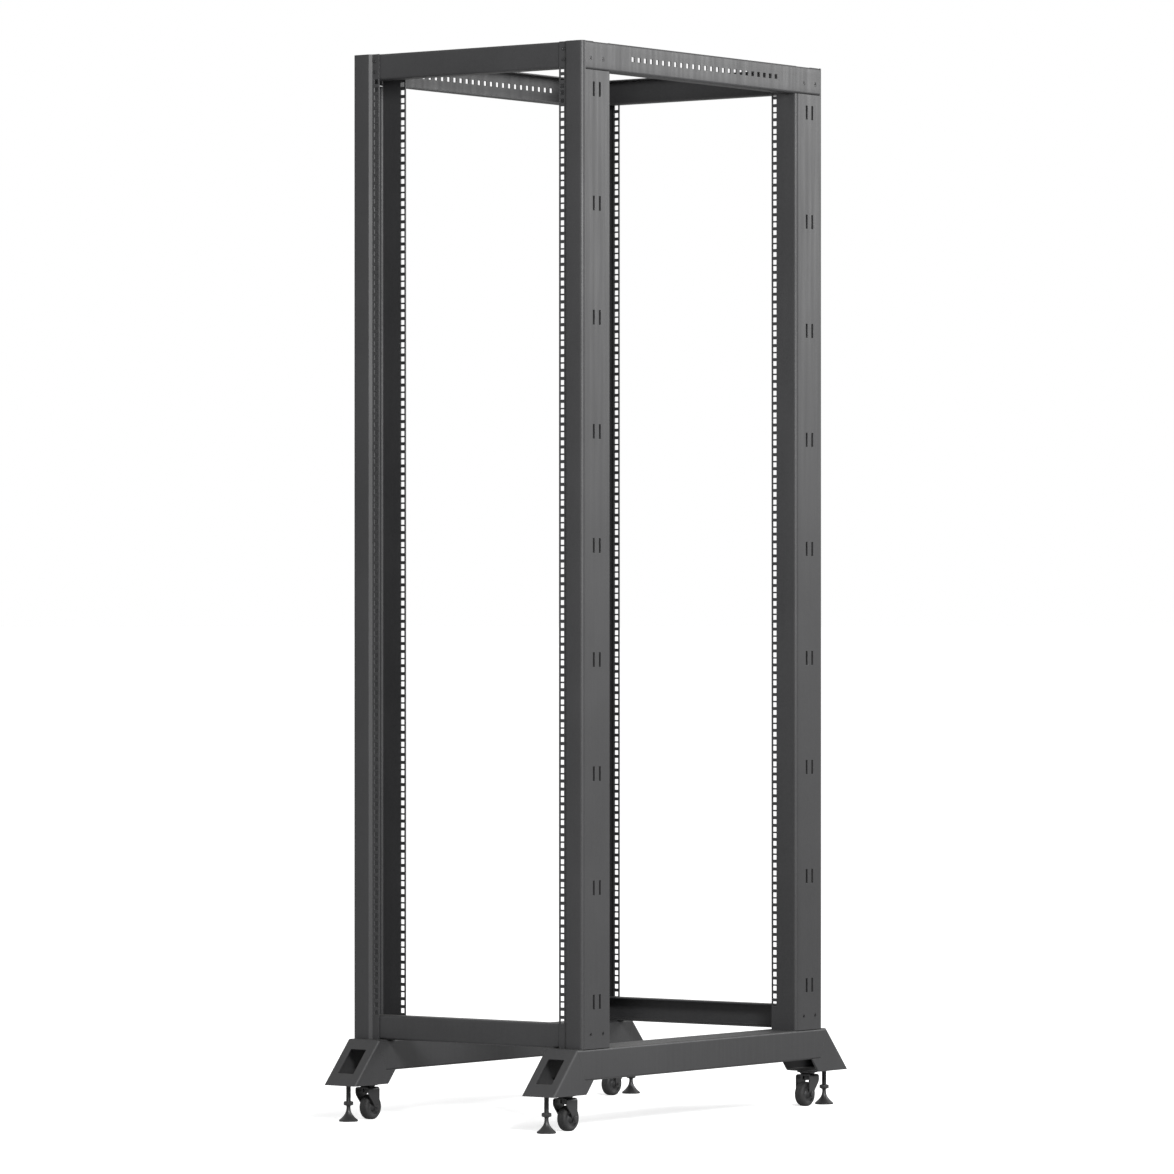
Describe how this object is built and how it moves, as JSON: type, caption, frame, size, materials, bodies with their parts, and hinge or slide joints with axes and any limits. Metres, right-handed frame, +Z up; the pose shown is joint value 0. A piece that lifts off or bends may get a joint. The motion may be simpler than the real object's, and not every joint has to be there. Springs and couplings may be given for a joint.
{
  "type": "four post open frame rack",
  "caption": "Tall open frame equipment rack with four perforated channel posts, top and base beams, splayed hollow feet, swivel casters and levelling feet.",
  "frame": {"origin": "middle of the footprint, on the floor", "axes": "+Z up, the front faces -Y, +X is the right side seen from the front"},
  "size_m": [0.574, 1.002, 2.122],
  "materials": {
    "black_powder_coat": "fine textured satin black powder coat",
    "black_plated_steel": "smooth satin black",
    "black_tread": "matte black tread"
  },
  "bodies": {
    "frame": {"front_left_post": "black_powder_coat", "front_right_post": "black_powder_coat", "rear_left_post": "black_powder_coat", "rear_right_post": "black_powder_coat", "top_front_beam": "black_powder_coat", "top_rear_beam": "black_powder_coat", "top_left_beam": "black_powder_coat", "top_right_beam": "black_powder_coat", "bottom_front_beam": "black_powder_coat", "bottom_rear_beam": "black_powder_coat", "left_base_runner": "black_powder_coat", "right_base_runner": "black_powder_coat", "front_left_foot_bracket": "black_powder_coat", "front_right_foot_bracket": "black_powder_coat", "rear_left_foot_bracket": "black_powder_coat", "rear_right_foot_bracket": "black_powder_coat", "front_left_caster_plate": "black_plated_steel", "front_right_caster_plate": "black_plated_steel", "rear_left_caster_plate": "black_plated_steel", "rear_right_caster_plate": "black_plated_steel"},
    "front_left_caster": {"front_left_caster_fork": "black_plated_steel"},
    "front_left_wheel": {"front_left_caster_wheel": "black_tread"},
    "front_left_leveller": {"front_left_levelling_foot": "black_plated_steel", "front_left_lock_nut": "black_plated_steel"},
    "front_right_caster": {"front_right_caster_fork": "black_plated_steel"},
    "front_right_wheel": {"front_right_caster_wheel": "black_tread"},
    "front_right_leveller": {"front_right_levelling_foot": "black_plated_steel", "front_right_lock_nut": "black_plated_steel"},
    "rear_left_caster": {"rear_left_caster_fork": "black_plated_steel"},
    "rear_left_wheel": {"rear_left_caster_wheel": "black_tread"},
    "rear_left_leveller": {"rear_left_levelling_foot": "black_plated_steel", "rear_left_lock_nut": "black_plated_steel"},
    "rear_right_caster": {"rear_right_caster_fork": "black_plated_steel"},
    "rear_right_wheel": {"rear_right_caster_wheel": "black_tread"},
    "rear_right_leveller": {"rear_right_levelling_foot": "black_plated_steel", "rear_right_lock_nut": "black_plated_steel"}
  },
  "joints": [
    {"name": "front_left_caster_swivel", "type": "hinge", "parent": "frame", "child": "front_left_caster", "pos_m": [-0.247, -0.411, 0.063], "axis": [0, 0, 1], "continuous": true},
    {"name": "front_left_wheel_spin", "type": "hinge", "parent": "front_left_caster", "child": "front_left_wheel", "pos_m": [-0.247, -0.402, 0.025], "axis": [1, 0, 0], "continuous": true},
    {"name": "front_left_levelling_screw", "type": "slide", "parent": "frame", "child": "front_left_leveller", "axis": [0, 0, 1], "range_m": [-0.008, 0.02]},
    {"name": "front_right_caster_swivel", "type": "hinge", "parent": "frame", "child": "front_right_caster", "pos_m": [0.247, -0.411, 0.063], "axis": [0, 0, 1], "continuous": true},
    {"name": "front_right_wheel_spin", "type": "hinge", "parent": "front_right_caster", "child": "front_right_wheel", "pos_m": [0.247, -0.402, 0.025], "axis": [1, 0, 0], "continuous": true},
    {"name": "front_right_levelling_screw", "type": "slide", "parent": "frame", "child": "front_right_leveller", "axis": [0, 0, 1], "range_m": [-0.008, 0.02]},
    {"name": "rear_left_caster_swivel", "type": "hinge", "parent": "frame", "child": "rear_left_caster", "pos_m": [-0.247, 0.411, 0.063], "axis": [0, 0, 1], "continuous": true},
    {"name": "rear_left_wheel_spin", "type": "hinge", "parent": "rear_left_caster", "child": "rear_left_wheel", "pos_m": [-0.247, 0.402, 0.025], "axis": [1, 0, 0], "continuous": true},
    {"name": "rear_left_levelling_screw", "type": "slide", "parent": "frame", "child": "rear_left_leveller", "axis": [0, 0, 1], "range_m": [-0.008, 0.02]},
    {"name": "rear_right_caster_swivel", "type": "hinge", "parent": "frame", "child": "rear_right_caster", "pos_m": [0.247, 0.411, 0.063], "axis": [0, 0, 1], "continuous": true},
    {"name": "rear_right_wheel_spin", "type": "hinge", "parent": "rear_right_caster", "child": "rear_right_wheel", "pos_m": [0.247, 0.402, 0.025], "axis": [1, 0, 0], "continuous": true},
    {"name": "rear_right_levelling_screw", "type": "slide", "parent": "frame", "child": "rear_right_leveller", "axis": [0, 0, 1], "range_m": [-0.008, 0.02]}
  ]
}
